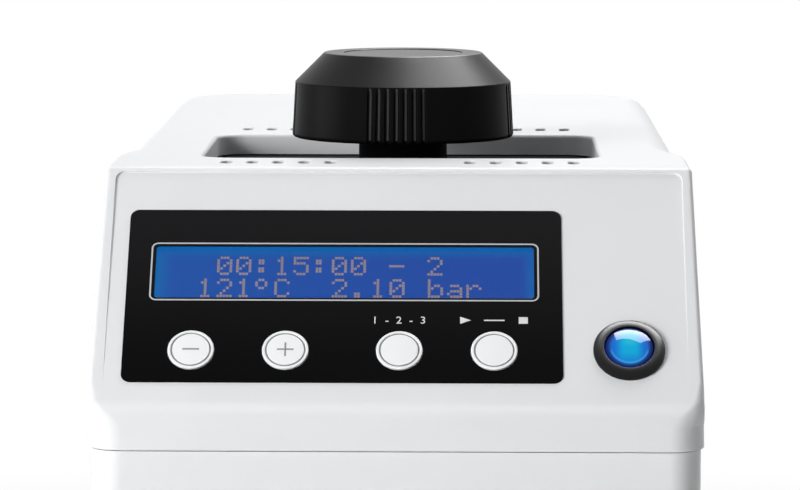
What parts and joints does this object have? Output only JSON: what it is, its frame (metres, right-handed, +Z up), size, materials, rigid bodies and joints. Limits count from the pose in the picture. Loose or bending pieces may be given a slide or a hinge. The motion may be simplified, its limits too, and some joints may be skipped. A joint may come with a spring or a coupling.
{
  "type": "benchtop autoclave",
  "caption": "Narrow benchtop steam steriliser with a sloping control panel, a top recess with a large black locking knob, and a lid that lifts out with an instrument basket.",
  "frame": {"origin": "on the table under the middle of the footprint", "axes": "+X to the right seen from the front, +Y to the rear, +Z up; the control panel faces -Y"},
  "size_m": [0.19, 0.424, 0.2735],
  "materials": {
    "housing_white": "fine satin moulding",
    "black_moulding": "matte black moulding",
    "black_trim": "semi-gloss black",
    "foil_black": "satin printed foil",
    "clear_window": "clear polished",
    "display_blue": "lit display",
    "key_white": "satin white key",
    "lens_blue": "translucent glossy lens",
    "rubber_black": "matte rubber",
    "silicone": "translucent silicone",
    "steel": "brushed stainless",
    "bright_steel": "polished",
    "zinc": "zinc-plated sheet",
    "panel_grey": "powder-coated sheet",
    "brass": "machined brass",
    "copper": "drawn copper",
    "aluminium": "rolled sheet",
    "board_green": "solder-masked board",
    "component_dark": "moulded component",
    "felt": "needled felt",
    "tank_plastic": "translucent moulding",
    "core_iron": "varnished laminations"
  },
  "bodies": {
    "housing": {"top_cover": "housing_white", "lower_housing": "housing_white", "base_plate": "zinc", "rear_panel": "panel_grey", "rubber_feet": "rubber_black", "housing_screws": "bright_steel", "recess_liner": "black_moulding", "control_foil": "foil_black", "display_window": "clear_window", "display_glass": "display_blue", "display_module": "zinc", "keypad_board": "board_green", "button_bezel": "black_trim", "button_switch": "component_dark", "vessel": "steel", "claw_ring": "steel", "flange_bolts": "bright_steel", "chassis": "zinc", "insulation": "felt", "heater_band": "aluminium", "safety_valve": "brass", "vessel_sensors": "brass", "water_tank": "tank_plastic", "float_stem": "component_dark", "feed_pump": "component_dark", "valve_bracket": "zinc", "steam_valves": "brass", "condenser": "copper", "steam_pipes": "copper", "water_hoses": "silicone", "fan_frame": "component_dark", "fan_guard": "bright_steel", "mains_module": "component_dark", "hose_couplings": "brass", "air_filter": "tank_plastic", "main_board": "board_green", "board_components": "component_dark", "transformer": "core_iron"},
    "lid": {"lid_cover": "black_moulding", "lid_collar": "black_moulding", "spindle_bush": "brass", "lid_plate": "steel", "lid_seal": "silicone", "lid_pillars": "steel", "basket_rod": "steel", "instrument_basket": "steel"},
    "knob": {"knob": "black_moulding", "knob_cap": "black_moulding", "knob_spindle": "bright_steel", "spindle_fasteners": "bright_steel", "lock_bar": "steel"},
    "key_minus": {"key_minus": "key_white"},
    "key_plus": {"key_plus": "key_white"},
    "key_program": {"key_program": "key_white"},
    "key_start": {"key_start": "key_white"},
    "button": {"button_lens": "lens_blue"},
    "fan": {"fan_rotor": "component_dark"},
    "rocker": {"mains_rocker": "black_trim"},
    "drawer": {"fuse_drawer": "component_dark"},
    "float": {"tank_float": "key_white"}
  },
  "joints": [
    {"name": "lid_lift", "type": "slide", "parent": "housing", "child": "lid", "axis": [0, 0, 1], "range_m": [0, 0.21]},
    {"name": "knob_turn", "type": "hinge", "parent": "lid", "child": "knob", "pos_m": [0, -0.063, 0.245], "axis": [0, 0, 1], "range_deg": [0, 60]},
    {"name": "press_minus", "type": "slide", "parent": "housing", "child": "key_minus", "axis": [0, 0.7337, -0.6794], "range_m": [0, 0.0005], "stiffness_N_per_m": 400},
    {"name": "press_plus", "type": "slide", "parent": "housing", "child": "key_plus", "axis": [0, 0.7337, -0.6794], "range_m": [0, 0.0005], "stiffness_N_per_m": 400},
    {"name": "press_program", "type": "slide", "parent": "housing", "child": "key_program", "axis": [0, 0.7337, -0.6794], "range_m": [0, 0.0005], "stiffness_N_per_m": 400},
    {"name": "press_start", "type": "slide", "parent": "housing", "child": "key_start", "axis": [0, 0.7337, -0.6794], "range_m": [0, 0.0005], "stiffness_N_per_m": 400},
    {"name": "press_button", "type": "slide", "parent": "housing", "child": "button", "axis": [0, 0.7337, -0.6794], "range_m": [0, 0.002], "stiffness_N_per_m": 400},
    {"name": "fan_spin", "type": "hinge", "parent": "housing", "child": "fan", "pos_m": [0.026, 0.188, 0.1], "axis": [0, 1, 0], "continuous": true},
    {"name": "rocker_tilt", "type": "hinge", "parent": "housing", "child": "rocker", "pos_m": [-0.038, 0.198, 0.075], "axis": [1, 0, 0], "range_deg": [0, 14]},
    {"name": "drawer_pull", "type": "slide", "parent": "housing", "child": "drawer", "axis": [0, 1, 0], "range_m": [0, 0.014]},
    {"name": "float_rise", "type": "slide", "parent": "housing", "child": "float", "axis": [0, 0, 1], "range_m": [0, 0.095]}
  ]
}
